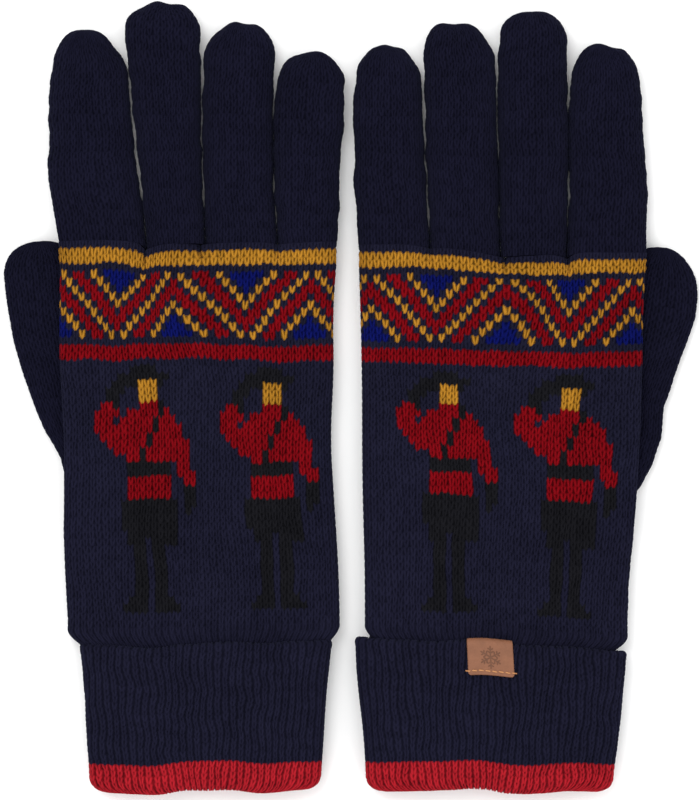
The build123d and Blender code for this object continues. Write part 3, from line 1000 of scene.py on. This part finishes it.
def wool(name):
    """Wool: the yarn's own colour with painted shade in the gaps, fibres, uneven dye and hardly any shine.
    """
    material, tree, principled = shader(name, 1.0, 0.02)
    link = tree.links.new
    yarn = add_node(tree, "Attribute", attribute_name="yarn")
    depth = add_node(tree, "Attribute", attribute_name="depth")
    shade = add_node(tree, "Attribute", attribute_name="shade")
    place = add_node(tree, "TexCoord")
    fibres = add_node(tree, "TexNoise", Scale=2400.0, Detail=4.0, Roughness=0.7, Distortion=1.2)
    patches = add_node(tree, "TexNoise", Scale=45.0, Detail=3.0)
    for noise in (fibres, patches):
        link(place.outputs["Object"], noise.inputs["Vector"])
    # Painted shade: the deeper a point lies in a gap, the darker its colour
    light = maths(tree, "MULTIPLY_ADD", depth.outputs["Fac"], -0.84, 1.12)
    light = maths(tree, "ADD", light, maths(tree, "MULTIPLY", shade.outputs["Fac"], 0.12))
    light = vary(tree, vary(tree, light, fibres, 0.8), patches, 0.45)
    light = maths(tree, "MAXIMUM", light, 0.06)
    tint = add_node(tree, "VectorMath", operation="SCALE")
    link(yarn.outputs["Color"], tint.inputs[0])
    link(light, tint.inputs["Scale"])
    link(tint.outputs[0], principled.inputs["Base Color"])
    add_bumps(tree, principled, fibres.outputs["Fac"], Strength=0.55, Distance=0.0004)
    principled.inputs["Sheen Weight"].default_value = 0.03
    principled.inputs["Sheen Roughness"].default_value = 0.5
    principled.inputs["Sheen Tint"].default_value = (0.45, 0.52, 0.75, 1)
    return material


def leather():
    """Smooth tan leather with a fine grain, darker where it is pressed and at its cut edges."""
    material, tree, principled = shader("tan_leather", 0.62, 0.30)
    link = tree.links.new
    depth = add_node(tree, "Attribute", attribute_name="depth")
    place = add_node(tree, "TexCoord")
    grain = add_node(tree, "TexVoronoi", Scale=2600.0)
    clouds = add_node(tree, "TexNoise", Scale=320.0, Detail=4.0)
    for texture in (grain, clouds):
        link(place.outputs["Object"], texture.inputs["Vector"])
    light = maths(tree, "MULTIPLY_ADD", depth.outputs["Fac"], -0.62, 0.90)
    light = vary(tree, light, clouds, 0.45)
    tint = add_node(tree, "VectorMath", operation="SCALE")
    tint.inputs[0].default_value = LEATHER
    link(light, tint.inputs["Scale"])
    link(tint.outputs[0], principled.inputs["Base Color"])
    add_bumps(tree, principled, grain.outputs["Distance"], Strength=0.25, Distance=0.0001)
    return material


def sewing_thread():
    """Pale orange thread with a slight shine."""
    material, _, principled = shader("orange_thread", 0.6, 0.3)
    principled.inputs["Base Color"].default_value = (*THREAD, 1)
    return material


MATERIALS = {
    "patterned_knit": wool("patterned_wool"),
    "navy_knit": wool("navy_wool"),
    "navy_rib": wool("navy_rib_wool"),
    "red_rib": wool("red_rib_wool"),
    "label_leather": leather(),
    "label_thread": sewing_thread(),
}


def dress(piece, slot, *nodes):
    """Gives a piece its material and hides the CAD nodes it stands for."""
    piece.data.materials.append(MATERIALS[slot])
    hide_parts(*nodes)
    return piece


# -------------------- the pair

for glove in SIDES:
    make_hand(glove)
    for number in range(len(FINGERS)):
        make_finger(glove, number)
    make_thumb(glove)
    make_cuff(glove)
make_label()
make_stitches()


# -------------------- studio

def make_floor():
    """A plain white table top."""
    bpy.ops.mesh.primitive_plane_add(size=6, location=(0, 0, -0.0002))
    floor = bpy.context.object
    floor.name = "floor"
    material, _, principled = shader("table", 1.0, 0.0)
    principled.inputs["Base Color"].default_value = (0.93, 0.93, 0.93, 1)
    floor.data.materials.append(material)


def area_light(name, place, size, power):
    """A soft light that points at the pair."""
    data = bpy.data.lights.new(name, "AREA")
    data.shape, data.size, data.energy = "DISK", size, power
    lamp = bpy.data.objects.new(name, data)
    lamp.location = place
    lamp.rotation_euler = (-lamp.location).to_track_quat("-Z", "Y").to_euler()
    bpy.context.scene.collection.objects.link(lamp)


def make_world(strength):
    """Even white light from all around."""
    world = bpy.data.worlds.new("studio")
    world.use_nodes = True
    world.node_tree.nodes["Background"].inputs["Color"].default_value = (1, 1, 1, 1)
    world.node_tree.nodes["Background"].inputs["Strength"].default_value = strength
    bpy.context.scene.world = world


def make_camera():
    """Straight above the pair, with a long lens that sees view_height at the fabric's own level."""
    data = bpy.data.cameras.new("camera")
    height, view_height, level = 1.6, 0.288, 0.012
    data.sensor_fit = "VERTICAL"
    data.sensor_height = 36.0
    data.lens = data.sensor_height * (height - level) / view_height
    camera = bpy.data.objects.new("camera", data)
    camera.location = (0, 0, height)
    bpy.context.scene.collection.objects.link(camera)
    bpy.context.scene.camera = camera


make_floor()
make_world(1.25)
area_light("key", (-0.35, 0.45, 1.4), 0.7, 7.0)
area_light("fill", (0.3, -0.25, 1.5), 1.0, 2.0)
make_camera()
bpy.context.scene.view_settings.view_transform = "Standard"
